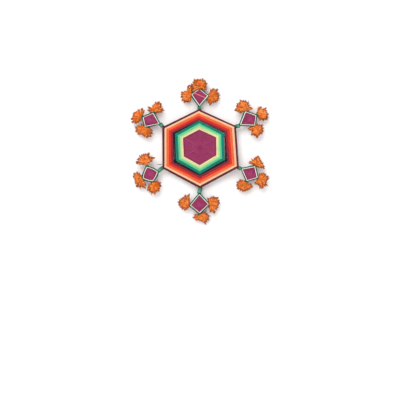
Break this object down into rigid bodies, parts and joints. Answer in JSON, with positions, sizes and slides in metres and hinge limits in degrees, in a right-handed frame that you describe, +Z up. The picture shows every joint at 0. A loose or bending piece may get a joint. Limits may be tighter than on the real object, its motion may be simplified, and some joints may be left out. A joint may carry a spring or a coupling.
{
  "type": "ojo de dios",
  "caption": "Hexagonal ojo de dios: crossed sticks wound with bands of coloured yarn, and a small wound eye with fluffy yarn tufts at the end of each arm. Hangs on a wall as an ornament.",
  "frame": {"origin": "on the axis of the upright long stick, in the middle of the bound stretch of the top arm, where the ornament is hung", "axes": "+Z up along the upright stick, +X to the viewer's right, -Y out of the wound front, so +Y points at the wall"},
  "size_m": [0.1364, 0.0124, 0.1448],
  "materials": {
    "stick_wood": "bare, smooth",
    "yarn_plum": "wound yarn, matt",
    "yarn_cream": "wound yarn, matt",
    "yarn_lime": "wound yarn, matt",
    "yarn_mint": "wound yarn, matt",
    "yarn_teal": "wound yarn, matt",
    "yarn_black": "wound yarn, matt",
    "yarn_wine": "wound yarn, matt",
    "yarn_red": "wound yarn, matt",
    "yarn_orange": "wound yarn, matt",
    "yarn_peach": "wound yarn, matt",
    "yarn_maroon": "wound yarn, matt",
    "tuft_yarn": "cut yarn, fluffy"
  },
  "bodies": {
    "root": {"long_stick_vertical": "stick_wood", "long_stick_rising": "stick_wood", "long_stick_falling": "stick_wood", "eye_core_plum": "yarn_plum", "eye_band_cream": "yarn_cream", "eye_band_lime": "yarn_lime", "eye_band_mint": "yarn_mint", "eye_band_teal": "yarn_teal", "gap_round_black": "yarn_black", "ring_band_wine": "yarn_wine", "ring_band_red": "yarn_red", "ring_band_orange": "yarn_orange", "ring_band_peach": "yarn_peach", "ring_band_maroon": "yarn_maroon", "cross_stick_bottom": "stick_wood", "small_core_bottom": "yarn_plum", "small_border_bottom": "yarn_cream", "arm_binding_bottom": "yarn_teal", "tuft_bottom_outer": "tuft_yarn", "tuft_bottom_left": "tuft_yarn", "tuft_bottom_right": "tuft_yarn", "cross_stick_lower_left": "stick_wood", "small_core_lower_left": "yarn_plum", "small_border_lower_left": "yarn_cream", "arm_binding_lower_left": "yarn_teal", "tuft_lower_left_outer": "tuft_yarn", "tuft_lower_left_left": "tuft_yarn", "tuft_lower_left_right": "tuft_yarn", "cross_stick_upper_left": "stick_wood", "small_core_upper_left": "yarn_plum", "small_border_upper_left": "yarn_cream", "arm_binding_upper_left": "yarn_teal", "tuft_upper_left_outer": "tuft_yarn", "tuft_upper_left_left": "tuft_yarn", "tuft_upper_left_right": "tuft_yarn", "cross_stick_top": "stick_wood", "small_core_top": "yarn_plum", "small_border_top": "yarn_cream", "arm_binding_top": "yarn_teal", "tuft_top_outer": "tuft_yarn", "tuft_top_left": "tuft_yarn", "tuft_top_right": "tuft_yarn", "cross_stick_upper_right": "stick_wood", "small_core_upper_right": "yarn_plum", "small_border_upper_right": "yarn_cream", "arm_binding_upper_right": "yarn_teal", "tuft_upper_right_outer": "tuft_yarn", "tuft_upper_right_left": "tuft_yarn", "tuft_upper_right_right": "tuft_yarn", "cross_stick_lower_right": "stick_wood", "small_core_lower_right": "yarn_plum", "small_border_lower_right": "yarn_cream", "arm_binding_lower_right": "yarn_teal", "tuft_lower_right_outer": "tuft_yarn", "tuft_lower_right_left": "tuft_yarn", "tuft_lower_right_right": "tuft_yarn"}
  },
  "joints": []
}
